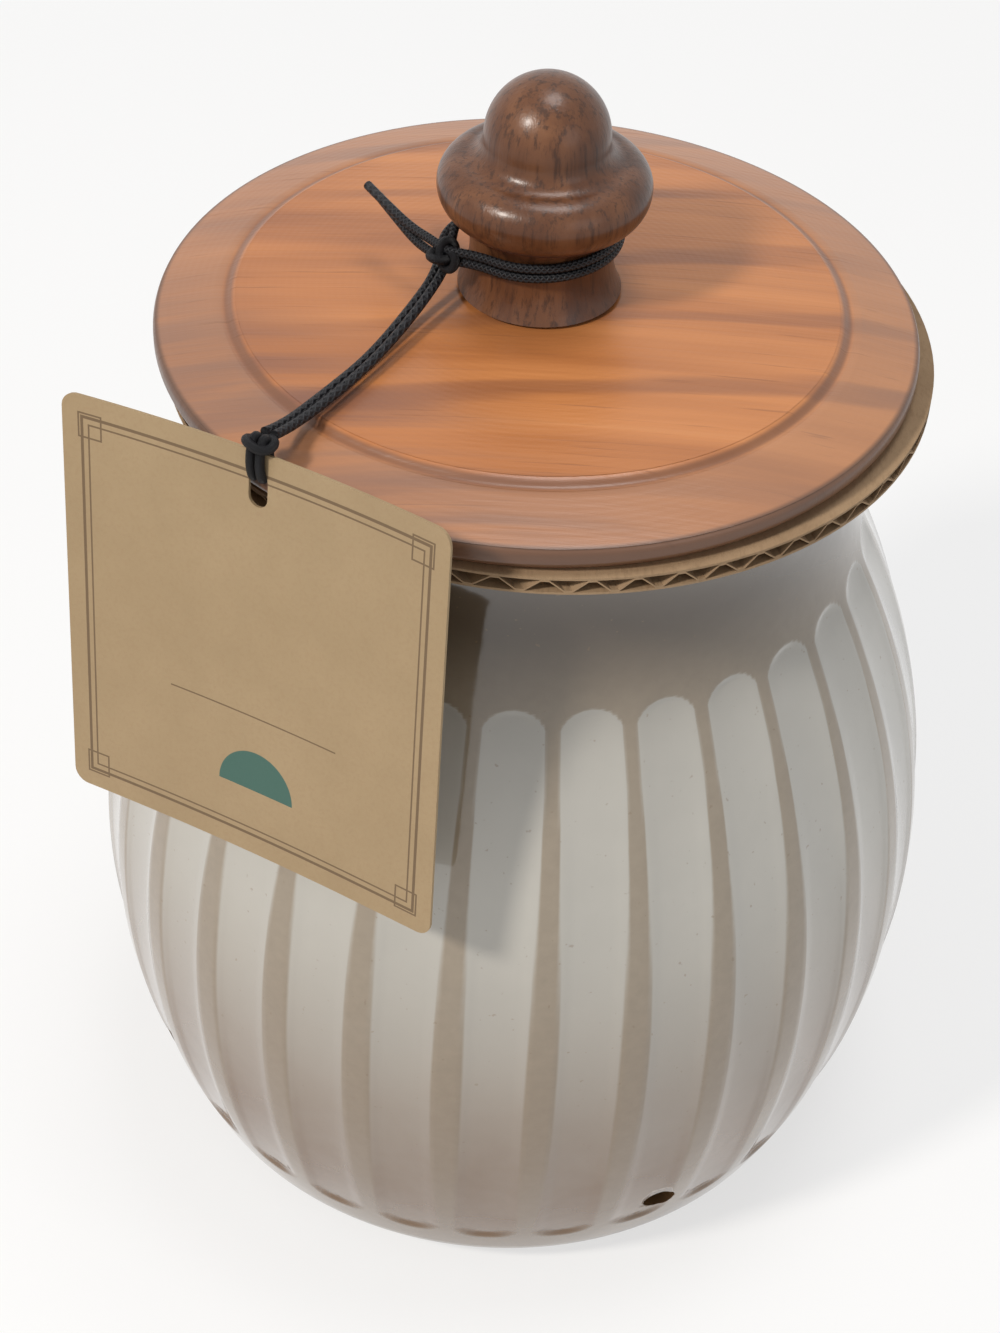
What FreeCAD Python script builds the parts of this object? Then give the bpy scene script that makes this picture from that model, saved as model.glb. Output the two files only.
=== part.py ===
import FreeCAD, Part
import Sketcher
import math
import os

from FreeCAD import Placement, Rotation, Vector

# Garlic keeper: a fluted stoneware jar with a turned wooden lid, packed with a corrugated ring
# and a card on a waxed cord. Millimetres, +Z up, origin at the middle of the foot.

UP = Vector(0, 0, 1)
ORIGIN = Vector(0, 0, 0)

# Driving sizes of the whole keeper
SIZES = {
    # jar
    "jar_height": 165.0,
    "belly_radius": 76.0,
    "belly_height": 63.0,
    "belly_arc": 150.0,
    "waist_radius": 55.0,
    "waist_arc": 40.7,
    "wall": 5.0,
    "floor_thickness": 6.0,
    "foot_radius": 57.0,
    "foot_width": 7.0,
    "foot_recess": 2.0,
    "foot_curve_height": 7.0,
    # flutes
    "flute_count": 30,
    "ridge_width": 2.0,
    "flute_hollow": 52.0,
    "arch_ease": 1.08,
    "flute_low": 14.0,
    "flute_high": 137.0,
    "shoulder_band": 1.0,
    # vent holes
    "vent_count": 4,
    "vent_radius": 3.0,
    "vent_height": 21.0,
    "vent_turn": 27.0,
    # corrugated ring
    "pad_overhang": 0.5,
    "pad_hole_gap": 0.5,
    "liner_thickness": 0.4,
    "wave_height": 2.2,
    "wave_pitch": 6.5,
    "wave_flat": 1.1,
    "paper_thickness": 0.3,
    "pad_shift": 2.3,
    "pad_turn": 25.0,
    # lid
    "lid_overhang": 4.0,
    "lid_edge": 4.6,
    "edge_bevel": 1.8,
    "edge_round": 1.0,
    "border_width": 11.4,
    "ring_width": 2.4,
    "ring_rise": 2.4,
    "panel_step": 0.9,
    "panel_rise": 1.5,
    "plug_gap": 5.0,
    "plug_depth": 12.0,
    "groove_depth": 2.0,
    "groove_width": 4.2,
    "groove_drop": 4.6,
    # seal
    "seal_gap": 0.35,
    "fit_gap": 0.1,
    # knob
    "knob_height": 36.8,
    "knob_foot_radius": 12.3,
    "knob_neck_radius": 11.4,
    "knob_neck_height": 13.1,
    "bulb_radius": 16.9,
    "bulb_under_round": 5.5,
    "bulb_top_round": 4.5,
    "dome_radius": 11.1,
    "cove_radius": 2.5,
    # screw
    "screw_radius": 2.0,
    "screw_head_radius": 4.0,
    "screw_head_height": 2.4,
    "screw_grip": 12.0,
    "counterbore_depth": 3.0,
    # card
    "card_width": 71.0,
    "card_height": 71.5,
    "card_thickness": 0.5,
    "card_bow": 2.0,
    "card_corner": 2.5,
    "slot_width": 3.5,
    "slot_height": 6.0,
    "slot_drop": 3.0,
    "card_turn": -30.3,
    "card_lean": 10.0,
    "card_slope": 4.2,
    # cord
    "cord_radius": 0.75,
    "cord_gap": 0.3,
    "knot_radius": 2.5,
    "bight_radius": 1.9,
    "wrap_height": 8.2,
    "wrap_climb": 2.1,
    "strands_apart": 1.7,
    "cord_sides": 8,
}


def add_worked_sizes(v):
    """Heights and radii that follow from the driving sizes."""
    # The waist arc touches the belly arc from outside.
    across = v["waist_radius"] - v["belly_radius"] + v["belly_arc"]
    centres_apart = v["belly_arc"] + v["waist_arc"]
    rise = math.sqrt(centres_apart ** 2 - (across + v["waist_arc"]) ** 2)
    v["waist_height"] = v["belly_height"] + rise
    share = v["belly_arc"] / centres_apart
    v["join_radius"] = v["belly_radius"] - v["belly_arc"] + share * (across + v["waist_arc"])
    v["join_height"] = v["belly_height"] + share * rise
    v["inner_belly_arc"] = v["belly_arc"] - v["wall"]
    v["inner_waist_arc"] = v["waist_arc"] + v["wall"]
    inner_share = v["inner_belly_arc"] / centres_apart
    v["inner_join_radius"] = (
        v["belly_radius"] - v["belly_arc"] + inner_share * (across + v["waist_arc"])
    )
    v["inner_join_height"] = v["belly_height"] + inner_share * rise
    v["foot_curve_radius"] = outer_radius(v, v["foot_curve_height"])
    v["foot_inner_radius"] = v["foot_radius"] - v["foot_width"]
    v["floor_height"] = v["foot_recess"] + v["floor_thickness"]
    v["floor_corner_height"] = v["floor_height"] + v["wall"]
    v["floor_corner_radius"] = outer_radius(v, v["floor_corner_height"]) - v["wall"]
    v["floor_radius"] = v["floor_corner_radius"] - v["wall"]
    v["shoulder_height"] = v["flute_high"] + v["shoulder_band"]
    v["shoulder_radius"] = outer_radius(v, v["shoulder_height"])
    v["rim_radius"] = outer_radius(v, v["jar_height"])
    v["mouth_radius"] = inner_radius(v, v["jar_height"])
    # Heights up through the ring and the lid.
    v["pad_thickness"] = 2 * v["liner_thickness"] + v["wave_height"]
    v["lid_base"] = v["jar_height"] + v["pad_thickness"]
    v["lid_radius"] = v["rim_radius"] + v["lid_overhang"]
    v["pad_radius"] = v["lid_radius"] + v["pad_overhang"]
    v["plug_radius"] = v["mouth_radius"] - v["plug_gap"]
    v["ring_radius"] = v["lid_radius"] - v["border_width"]
    v["bevel_radius"] = v["lid_radius"] - v["edge_bevel"]
    v["bevel_height"] = v["lid_base"] + v["edge_bevel"]
    v["edge_top"] = v["lid_base"] + v["lid_edge"]
    v["edge_side_top"] = v["edge_top"] - v["edge_round"]
    v["edge_top_radius"] = v["lid_radius"] - v["edge_round"]
    v["ring_outer_height"] = v["edge_top"] + v["ring_rise"]
    v["ring_inner_radius"] = v["ring_radius"] - v["ring_width"]
    v["ring_inner_height"] = v["ring_outer_height"] + v["panel_step"]
    v["ring_arc"] = v["ring_width"]
    v["lid_top"] = v["ring_inner_height"] + v["panel_rise"]
    v["seat_radius"] = v["knob_foot_radius"] + 2 * v["fit_gap"]
    panel = v["ring_inner_radius"] - v["seat_radius"]
    v["panel_arc"] = (panel ** 2 + v["panel_rise"] ** 2) / (2 * v["panel_rise"])
    v["plug_base"] = v["lid_base"] - v["plug_depth"]
    v["groove_top"] = v["lid_base"] - v["groove_drop"]
    v["groove_base"] = v["groove_top"] - v["groove_width"]
    v["groove_radius"] = v["plug_radius"] - v["groove_depth"]
    v["shank_hole"] = v["screw_radius"] + v["fit_gap"]
    v["counterbore_radius"] = v["screw_head_radius"] + v["fit_gap"]
    v["counterbore_top"] = v["plug_base"] + v["counterbore_depth"]
    # Seal
    v["seal_inner"] = v["groove_radius"] + v["fit_gap"]
    v["seal_low"] = v["groove_base"] + v["fit_gap"]
    v["seal_high"] = v["groove_top"] - v["fit_gap"]
    v["seal_body"] = v["plug_radius"] + v["fit_gap"]
    v["seal_outer"] = inner_radius(v, v["groove_base"]) - v["seal_gap"]
    v["pad_hole"] = v["seal_outer"] + v["pad_shift"] + v["pad_hole_gap"]
    v["seal_fin"] = (v["seal_high"] - v["seal_low"]) / 4
    v["seal_low_tip"] = v["seal_low"] + v["seal_fin"]
    v["seal_middle"] = v["seal_low"] + 2 * v["seal_fin"]
    v["seal_high_tip"] = v["seal_high"] - v["seal_fin"]
    # Knob, from its seat up
    v["knob_top"] = v["lid_top"] + v["knob_height"]
    v["bulb_low"] = v["lid_top"] + v["knob_neck_height"]
    v["bulb_middle"] = v["bulb_low"] + v["bulb_under_round"]
    v["bulb_under_start"] = v["bulb_radius"] - v["bulb_under_round"]
    # The cove's arc touches the bulb's upper arc and ends upright on the dome.
    arcs_apart = v["bulb_top_round"] + v["cove_radius"]
    step_out = v["dome_radius"] + v["cove_radius"] - v["bulb_radius"] + v["bulb_top_round"]
    step_up = math.sqrt(arcs_apart ** 2 - step_out ** 2)
    bulb_share = v["bulb_top_round"] / arcs_apart
    v["bulb_top_end"] = v["bulb_radius"] - v["bulb_top_round"] + bulb_share * step_out
    v["bulb_high"] = v["bulb_middle"] + bulb_share * step_up
    v["cove_high"] = v["bulb_middle"] + step_up
    v["dome_middle"] = v["knob_top"] - v["dome_radius"]
    neck_step = v["bulb_under_start"] - v["knob_foot_radius"]
    chord = math.hypot(neck_step, v["knob_neck_height"])
    sag = (v["bulb_under_start"] + v["knob_foot_radius"]) / 2 - v["knob_neck_radius"]
    v["neck_arc"] = (chord ** 2 / 4 + sag ** 2) / (2 * sag)
    v["hitch_rise"] = v["bight_radius"] + v["cord_gap"]
    # Screw, from under the lid up into the knob
    v["screw_cone_top"] = v["counterbore_top"] + v["screw_head_height"] - 2 * v["fit_gap"]
    v["cone_seat_top"] = v["counterbore_top"] + v["screw_head_height"]
    v["screw_top"] = v["lid_top"] + v["screw_grip"]
    v["pilot_top"] = v["screw_top"] + v["screw_radius"]
    return v


def outer_radius(v, height):
    """Radius of the jar's outside, on its ridges, at a height above its foot."""
    if height < v.get("join_height", v["jar_height"]):
        drop = height - v["belly_height"]
        return v["belly_radius"] - v["belly_arc"] + math.sqrt(v["belly_arc"] ** 2 - drop ** 2)
    drop = height - v["waist_height"]
    return v["waist_radius"] + v["waist_arc"] - math.sqrt(v["waist_arc"] ** 2 - drop ** 2)


def inner_radius(v, height):
    """Radius of the jar's inside in its waist, at a height above its foot."""
    drop = height - v["waist_height"]
    return v["waist_radius"] + v["waist_arc"] - math.sqrt(v["inner_waist_arc"] ** 2 - drop ** 2)


V = add_worked_sizes(dict(SIZES))

doc = FreeCAD.newDocument("GarlicKeeper")
sheet = doc.addObject("Spreadsheet::Sheet", "Sizes")
for row, (alias, value) in enumerate(V.items(), start=1):
    sheet.set(f"A{row}", alias)
    sheet.set(f"B{row}", repr(value))
    sheet.setAlias(f"B{row}", alias)
doc.recompute()

parts = []


def keep(thing, label):
    """Counts a finished object as a sub-part under its own name."""
    thing.Label = label
    parts.append(thing)
    return thing


def origin_plane(body, role):
    return next(f for f in body.Origin.OriginFeatures if f.Role == role)


def point_rules(edge, end, along, up):
    """Rules that hold an end of an edge at two cells of the sheet; None stands for the axis."""
    rules = []
    for kind, alias, axis in (("DistanceX", along, -2), ("DistanceY", up, -1)):
        if alias is None:
            rules.append((Sketcher.Constraint("PointOnObject", edge, end, axis), None))
        else:
            rules.append((Sketcher.Constraint(kind, -1, 1, edge, end, V[alias]), alias))
    return rules


def arc_edge(start, end, radius, bulge):
    """The arc of that radius between two points, counter-clockwise, bulging right or left of the way.

    A bulge of 1 lies right of the way from start to end, and such an arc begins at start.
    """
    way = end - start
    left = Vector(-way.y, way.x, 0).normalize() * bulge
    centre = (start + end) / 2 + left * math.sqrt(max(radius ** 2 - way.Length ** 2 / 4, 0))
    begin, finish = (start, end) if bulge > 0 else (end, start)
    from_turn = math.atan2(begin.y - centre.y, begin.x - centre.x)
    to_turn = math.atan2(finish.y - centre.y, finish.x - centre.x)
    if to_turn < from_turn:
        to_turn += 2 * math.pi
    return Part.ArcOfCircle(Part.Circle(centre, UP, radius), from_turn, to_turn)


def draw_outline(sketch, outline):
    """Draws a closed outline: (radius cell, height cell, arc cell, bulge) for each point.

    The arc cell and bulge belong to the edge that leaves the point, and None is a line.
    """
    spots = [Vector(V[r] if r else 0, V[z] if z else 0, 0) for r, z, _, _ in outline]
    count = len(outline)
    ends = []
    for i, (_, _, arc, bulge) in enumerate(outline):
        start, end = spots[i], spots[(i + 1) % count]
        if arc is None:
            sketch.addGeometry(Part.LineSegment(start, end), False)
            ends.append((1, 2))
        else:
            sketch.addGeometry(arc_edge(start, end, V[arc], bulge), False)
            ends.append((1, 2) if bulge > 0 else (2, 1))
    rules = []
    for i, (r, z, arc, _) in enumerate(outline):
        before = (i - 1) % count
        rules.append((Sketcher.Constraint("Coincident", before, ends[before][1], i, ends[i][0]), None))
        rules += point_rules(i, ends[i][0], r, z)
        if arc is not None:
            rules.append((Sketcher.Constraint("Radius", i, V[arc]), arc))
    first = len(sketch.Constraints)
    sketch.addConstraint([rule for rule, _ in rules])
    for index, (_, alias) in enumerate(rules, start=first):
        if alias is not None:
            sketch.renameConstraint(index, f"{alias}_{index}")
            sketch.setExpression(f"Constraints.{alias}_{index}", f"Sizes.{alias}")


def turned_body(label, outline):
    """A body turned about the upright axis from an outline."""
    body = doc.addObject("PartDesign::Body", label + "_body")
    sketch = body.newObject("Sketcher::SketchObject", label + "_outline")
    sketch.AttachmentSupport = (origin_plane(body, "XZ_Plane"), "")
    sketch.MapMode = "FlatFace"
    draw_outline(sketch, outline)
    turn = body.newObject("PartDesign::Revolution", label + "_turn")
    turn.Profile = sketch
    turn.ReferenceAxis = (sketch, ["V_Axis"])
    turn.Angle = 360
    body.Tip = turn
    doc.recompute()
    return body


# Jar: foot ring, belly, waist and lip outside, the same arcs one wall thickness further in inside
jar_outline = doc.addObject("Sketcher::SketchObject", "jar_outline")
jar_outline.Placement = Placement(ORIGIN, Rotation(Vector(1, 0, 0), 90))
draw_outline(jar_outline, [
    ("foot_inner_radius", None, None, 0),
    ("foot_radius", None, None, 0),
    ("foot_curve_radius", "foot_curve_height", "belly_arc", 1),
    ("join_radius", "join_height", "waist_arc", -1),
    ("shoulder_radius", "shoulder_height", "waist_arc", -1),
    ("rim_radius", "jar_height", None, 0),
    ("mouth_radius", "jar_height", "inner_waist_arc", 1),
    ("inner_join_radius", "inner_join_height", "inner_belly_arc", -1),
    ("floor_corner_radius", "floor_corner_height", None, 0),
    ("floor_radius", "floor_height", None, 0),
    (None, "floor_height", None, 0),
    (None, "foot_recess", None, 0),
    ("foot_inner_radius", "foot_recess", None, 0),
])
jar_blank = doc.addObject("Part::Revolution", "jar_blank")
jar_blank.Source = jar_outline
jar_blank.Axis = UP
jar_blank.Angle = 360
jar_blank.Solid = True


def flute_half_width(height):
    """Half of a flute's width at a height: half the pitch less half a ridge."""
    return outer_radius(V, height) * math.sin(math.pi / V["flute_count"]) - V["ridge_width"] / 2


def flute_bed():
    """The curve that a flute's deepest line follows, shallower where the flute is narrower."""
    spots = []
    for height in (V["flute_low"], V["belly_height"], V["join_height"]):
        radius = outer_radius(V, height)
        depth = flute_half_width(height) ** 2 / 2 * (1 / radius + 1 / V["flute_hollow"])
        spots.append(Vector(0, depth - radius, height))
    return Part.Arc(*spots).toShape().Curve


def arch_column(middle, radius):
    """One round end of the flute's window, level with the middle of its arch."""
    out = Vector(0, -2 * V["belly_radius"], 0)
    return Part.makeCylinder(radius, out.Length, Vector(0, 0, middle), out)


def flute_cutter():
    """A ring of round section pressed into the wall, kept inside a window with arched ends."""
    bed = flute_bed()
    hollow = V["flute_hollow"]
    ring = Part.makeTorus(bed.Radius + hollow, hollow, bed.Center, Vector(1, 0, 0))
    half = math.pi * V["belly_radius"] / V["flute_count"] + V["ridge_width"] / 2
    top_arch = V["arch_ease"] * flute_half_width(V["join_height"])
    foot_arch = V["arch_ease"] * flute_half_width(V["flute_low"])
    low, high = V["flute_low"] + foot_arch, V["flute_high"] - top_arch
    window = Part.makeBox(2 * half, V["belly_radius"] + V["wall"], high - low,
                          Vector(-half, -V["belly_radius"] - V["wall"], low))
    window = window.fuse([arch_column(high, top_arch), arch_column(low, foot_arch)])
    return window.common(ring)


def flute_cutters():
    cutter = flute_cutter()
    cutters = []
    for i in range(int(V["flute_count"])):
        copy = cutter.copy()
        copy.rotate(ORIGIN, UP, i * 360 / V["flute_count"])
        cutters.append(copy)
    return cutters


def vent_cutters():
    cutters = []
    for i in range(int(V["vent_count"])):
        hole = Part.makeCylinder(
            V["vent_radius"], 4 * V["wall"],
            Vector(0, -V["foot_radius"], V["vent_height"]), Vector(0, -1, 0),
        )
        hole.rotate(ORIGIN, UP, V["vent_turn"] + i * 360 / V["vent_count"])
        cutters.append(hole)
    return cutters


jar_cuts = doc.addObject("Part::Feature", "jar_cuts")
jar_cuts.Shape = Part.makeCompound(flute_cutters() + vent_cutters())
jar = doc.addObject("Part::Cut", "jar_cut")
jar.Base = jar_blank
jar.Tool = jar_cuts
keep(jar, "jar")

# Lid: bevelled edge, sloping border, turned ring, domed middle, plug with its groove, screw hole
keep(turned_body("lid", [
    ("counterbore_radius", "plug_base", None, 0),
    ("plug_radius", "plug_base", None, 0),
    ("plug_radius", "groove_base", None, 0),
    ("groove_radius", "groove_base", None, 0),
    ("groove_radius", "groove_top", None, 0),
    ("plug_radius", "groove_top", None, 0),
    ("plug_radius", "lid_base", None, 0),
    ("bevel_radius", "lid_base", None, 0),
    ("lid_radius", "bevel_height", None, 0),
    ("lid_radius", "edge_side_top", None, 0),
    ("edge_top_radius", "edge_top", None, 0),
    ("ring_radius", "ring_outer_height", "ring_arc", -1),
    ("ring_inner_radius", "ring_inner_height", "panel_arc", 1),
    ("seat_radius", "lid_top", None, 0),
    ("shank_hole", "lid_top", None, 0),
    ("shank_hole", "cone_seat_top", None, 0),
    ("counterbore_radius", "counterbore_top", None, 0),
]), "lid")

# Knob: waisted neck, wide bulb, cove and dome, with the pilot hole for its screw
keep(turned_body("knob", [
    ("shank_hole", "lid_top", None, 0),
    ("knob_foot_radius", "lid_top", "neck_arc", -1),
    ("bulb_under_start", "bulb_low", "bulb_under_round", 1),
    ("bulb_radius", "bulb_middle", "bulb_top_round", 1),
    ("bulb_top_end", "bulb_high", "cove_radius", -1),
    ("dome_radius", "cove_high", None, 0),
    ("dome_radius", "dome_middle", "dome_radius", 1),
    (None, "knob_top", None, 0),
    (None, "pilot_top", None, 0),
    ("shank_hole", "screw_top", None, 0),
]), "knob")

# Screw: flat head under the lid, plain shank without its thread
keep(turned_body("knob_screw", [
    (None, "counterbore_top", None, 0),
    ("screw_head_radius", "counterbore_top", None, 0),
    ("screw_radius", "screw_cone_top", None, 0),
    ("screw_radius", "screw_top", None, 0),
    (None, "screw_top", None, 0),
]), "knob_screw")

# Seal: a ring in the plug's groove with two lips that brush the mouth
keep(turned_body("lid_seal", [
    ("seal_inner", "seal_low", None, 0),
    ("seal_body", "seal_low", None, 0),
    ("seal_outer", "seal_low_tip", None, 0),
    ("seal_body", "seal_middle", None, 0),
    ("seal_outer", "seal_high_tip", None, 0),
    ("seal_body", "seal_high", None, 0),
    ("seal_inner", "seal_high", None, 0),
]), "lid_seal")


def ring_blank(height, thickness):
    """A flat ring of the packing board's outline, shifted as it lies on the rim."""
    middle = Vector(V["pad_shift"], 0, height)
    outside = Part.makeCylinder(V["pad_radius"], thickness, middle)
    return outside.cut(Part.makeCylinder(V["pad_hole"], thickness, middle))


def liner(label, height):
    """One flat paper face of the board."""
    outside = doc.addObject("Part::Cylinder", label + "_outside")
    outside.setExpression("Radius", "Sizes.pad_radius")
    hole = doc.addObject("Part::Cylinder", label + "_hole")
    hole.setExpression("Radius", "Sizes.pad_hole")
    for disc in (outside, hole):
        disc.setExpression("Height", "Sizes.liner_thickness")
        disc.setExpression("Placement.Base.x", "Sizes.pad_shift")
        disc.setExpression("Placement.Base.z", height)
    cut = doc.addObject("Part::Cut", label + "_ring")
    cut.Base = outside
    cut.Tool = hole
    keep(cut, label)


def wave_sheet():
    """The board's wave, drawn across its flutes and drawn out along them, cut to the ring."""
    low = V["jar_height"] + V["liner_thickness"]
    high = low + V["wave_height"]
    paper, pitch, flat = V["paper_thickness"], V["wave_pitch"], V["wave_flat"]
    slope = pitch / 2 - flat
    periods = math.ceil(2 * V["pad_radius"] / pitch) + 1
    under, over = [], []
    for i in range(periods):
        start = (i - periods / 2) * pitch
        steps = [(0, low), (flat, low), (flat + slope, high - paper), (2 * flat + slope, high - paper)]
        for along, height in steps:
            under.append(Vector(start + along, 0, height))
            over.append(Vector(start + along, 0, height + paper))
    outline = Part.makePolygon(under + over[::-1] + under[:1])
    long = 2 * V["pad_radius"] + pitch
    slab = Part.Face(outline).extrude(Vector(0, long, 0))
    slab.translate(Vector(0, -long / 2, 0))
    slab.rotate(ORIGIN, UP, V["pad_turn"])
    slab.translate(Vector(V["pad_shift"], 0, 0))
    return slab.common(ring_blank(low, V["wave_height"]))


# Packing board between rim and lid
liner("pad_bottom_liner", "Sizes.jar_height")
fluting = doc.addObject("Part::Feature", "fluting")
fluting.Shape = wave_sheet()
keep(fluting, "pad_fluting")
liner("pad_top_liner", "Sizes.lid_base - Sizes.liner_thickness")

# Card: a slightly bowed sheet that hangs from its slot and leans on the edge of the lid
CARD_TURN = Rotation(V["card_turn"], -V["card_slope"], -V["card_lean"])
CARD_ALONG = CARD_TURN.multVec(Vector(1, 0, 0))
CARD_BACK = CARD_TURN.multVec(Vector(0, 1, 0))
CARD_UP = CARD_TURN.multVec(Vector(0, 0, 1))
# The middle of the card's top edge, on its front face
CARD_TOP = Vector(-39.4, -48.9, 177.5)


def bowed_strip():
    """The card's plan: two arcs a paper thickness apart, their middle nearest the lid."""
    half, bow, thick = V["card_width"] / 2, V["card_bow"], V["card_thickness"]
    front = Part.Arc(Vector(-half, -bow, 0), Vector(0, 0, 0), Vector(half, -bow, 0)).toShape()
    back = Part.Arc(
        Vector(half, thick - bow, 0), Vector(0, thick, 0), Vector(-half, thick - bow, 0)
    ).toShape()
    sides = [
        Part.makeLine(Vector(half, -bow, 0), Vector(half, thick - bow, 0)),
        Part.makeLine(Vector(-half, thick - bow, 0), Vector(-half, -bow, 0)),
    ]
    return Part.Face(Part.Wire([front, sides[0], back, sides[1]]))


def card_shape():
    """The card in its own frame: top edge at zero, front towards -Y."""
    sheet_solid = bowed_strip().extrude(Vector(0, 0, -V["card_height"]))
    corners = [e for e in sheet_solid.Edges if abs(e.Length - V["card_thickness"]) < 0.001]
    sheet_solid = sheet_solid.makeFillet(V["card_corner"], corners)
    half = V["slot_width"] / 2
    reach = 4 * V["card_bow"]
    top, low = -V["slot_drop"] - half, -V["slot_drop"] - V["slot_height"] + half
    bar = Part.makeBox(2 * half, 2 * reach, top - low, Vector(-half, -reach, low))
    slot = bar
    for height in (top, low):
        slot = slot.fuse(Part.makeCylinder(half, 2 * reach, Vector(0, -reach, height), Vector(0, 1, 0)))
    return sheet_solid.cut(slot)


card = doc.addObject("Part::Feature", "card")
card.Shape = card_shape()
card.Placement = Placement(CARD_TOP, CARD_TURN)
keep(card, "hang_tag")


def route_path(points, tightest):
    """Straight runs joined by tangent arcs, each as large as its two runs allow."""
    edges = []
    radii = []
    last = points[0]
    for before, corner, after in zip(points, points[1:], points[2:]):
        back, on = before - corner, after - corner
        turn = math.pi - back.getAngle(on)
        short = min(back.Length, on.Length)
        radius = 0.45 * short / math.tan(turn / 2)
        radii.append(radius)
        cut = 0.45 * short
        back.normalize()
        on.normalize()
        start, end = corner + back * cut, corner + on * cut
        inward = (back + on).normalize()
        middle = corner + inward * (math.hypot(radius, cut) - radius)
        if (start - last).Length > 0.001:
            edges.append(Part.makeLine(last, start))
        edges.append(Part.Arc(start, middle, end).toShape())
        last = end
    edges.append(Part.makeLine(last, points[-1]))
    print("  radii", " ".join(f"{r:.1f}" for r in radii), "least allowed", tightest)
    return Part.Wire(edges)


def strand_ring(start, way):
    """A strand's outline, many-sided, square to the way that it sets off."""
    sides = int(V["cord_sides"])
    beside = UP if abs(way.z) < 0.9 * way.Length else Vector(1, 0, 0)
    across = way.cross(beside).normalize() * V["cord_radius"]
    corners = [start + Rotation(way, 360 * i / sides).multVec(across) for i in range(sides)]
    return Part.makePolygon(corners + corners[:1])


def cord_tube(points):
    """A strand along a route, its volume compared with section times length."""
    path = route_path(points, V["cord_radius"] * 2)
    ring = strand_ring(points[0], points[1] - points[0])
    tube = path.makePipeShell([ring], True, False)
    expected = Part.Face(ring).Area * path.Length
    print(f"  length {path.Length:.1f}, volume over section times length {tube.Volume / expected:.4f}")
    return tube


# Cord: two strands, each from its cut tail through the knot, round the knob's neck and to the card.
# Angles run from the front, seen from above, towards +X. Heights are above the knob's seat.
KNOT = Vector(-14.9, -7.2, 186.4)
WRAP_RADIUS = (V["knob_foot_radius"] + V["knob_neck_radius"]) / 2 + V["cord_radius"] + V["cord_gap"] / 3
WRAP_STEPS = 13
STRANDS = {
    "cord_a": {
        "tail": [(-28.2, 7.0, 189.6), (-24.8, 2.6, 188.9), (-20.6, -1.4, 187.4), (-17.2, -4.6, 187.4)],
        "lift": 1,
        "to_card": [(-14.0, -0.6, 187.2), (-14.4, -5.2, 183.6), (-18.0, -13.2, 181.0),
                    (-23.9, -25.0, 178.9), (-30.2, -35.3, 178.1), (-35.4, -43.0, 177.9)],
        "side": 0.9,
    },
    "cord_b": {
        "tail": [(-26.4, 6.6, 188.0), (-23.2, 1.6, 187.2), (-19.8, -2.6, 185.7), (-17.0, -5.6, 185.6)],
        "lift": 0,
        "to_card": [(-15.8, 0.2, 185.4), (-16.1, -5.5, 182.3), (-19.7, -12.6, 179.9),
                    (-25.4, -24.0, 177.9), (-31.6, -34.3, 177.8), (-36.8, -42.2, 177.6)],
        "side": -0.9,
    },
}


def wrap_points(lift):
    """The turn round the knob's neck: low at the left front, high behind."""
    points = []
    first, last = math.radians(-48), math.radians(262)
    for i in range(WRAP_STEPS):
        share = i / (WRAP_STEPS - 1)
        turn = first + (last - first) * share
        climb = V["wrap_climb"] * math.sin(math.pi * min(share * 1.5, 1) / 2)
        height = V["lid_top"] + V["wrap_height"] + climb + lift
        points.append(Vector(WRAP_RADIUS * math.sin(turn), -WRAP_RADIUS * math.cos(turn), height))
    return points


HITCH = CARD_TOP + CARD_UP * V["hitch_rise"] + CARD_BACK * (V["card_thickness"] / 2)


def strand_points(strand):
    tail = [Vector(*p) for p in strand["tail"]]
    lift = strand["lift"] * V["strands_apart"]
    through = KNOT + UP * (lift - V["strands_apart"] / 2)
    run = [Vector(*p) for p in strand["to_card"]]
    stop = HITCH + CARD_ALONG * strand["side"] + CARD_BACK * (V["bight_radius"] + V["cord_gap"])
    return tail + [through] + wrap_points(lift) + run + [stop]


for label, strand in STRANDS.items():
    print(label)
    tube = doc.addObject("Part::Feature", label + "_tube")
    tube.Shape = cord_tube(strand_points(strand))
    keep(tube, label)

knot = doc.addObject("Part::Sphere", "knot")
knot.setExpression("Radius", "Sizes.knot_radius")
knot.Placement = Placement(KNOT, Rotation())
keep(knot, "cord_knot")


def hitch_shape():
    """The lark's head: two loops through the slot and over the card's edge, and their bight."""
    strand, thick = V["cord_radius"], V["card_thickness"]
    reach = thick / 2 + strand + V["cord_gap"] / 2
    low = -(V["hitch_rise"] + V["slot_drop"] + strand + V["cord_gap"])
    solid = Part.makeSphere(V["bight_radius"])
    for side in (-1, 1):
        x = side * (strand + V["cord_gap"] / 3)
        front = Part.makeLine(Vector(x, -reach, 0), Vector(x, -reach, low))
        under = Part.Arc(Vector(x, -reach, low), Vector(x, 0, low - reach), Vector(x, reach, low)).toShape()
        back = Part.makeLine(Vector(x, reach, low), Vector(x, reach, 0))
        path = Part.Wire([front, under, back])
        ring = strand_ring(Vector(x, -reach, 0), Vector(0, 0, -1))
        solid = solid.fuse(path.makePipeShell([ring], True, False))
    return solid


hitch = doc.addObject("Part::Feature", "hitch")
hitch.Shape = hitch_shape()
hitch.Placement = Placement(HITCH, CARD_TURN)
keep(hitch, "cord_tag_hitch")

doc.recompute()
for thing in doc.Objects:
    bad = [word for word in thing.State if word in ("Invalid", "Error")]
    if bad:
        raise RuntimeError(f"{thing.Label} is {bad}")
for thing in parts:
    if thing.Shape.isNull() or not thing.Shape.isValid():
        raise RuntimeError(f"{thing.Label} has no valid shape")

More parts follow.
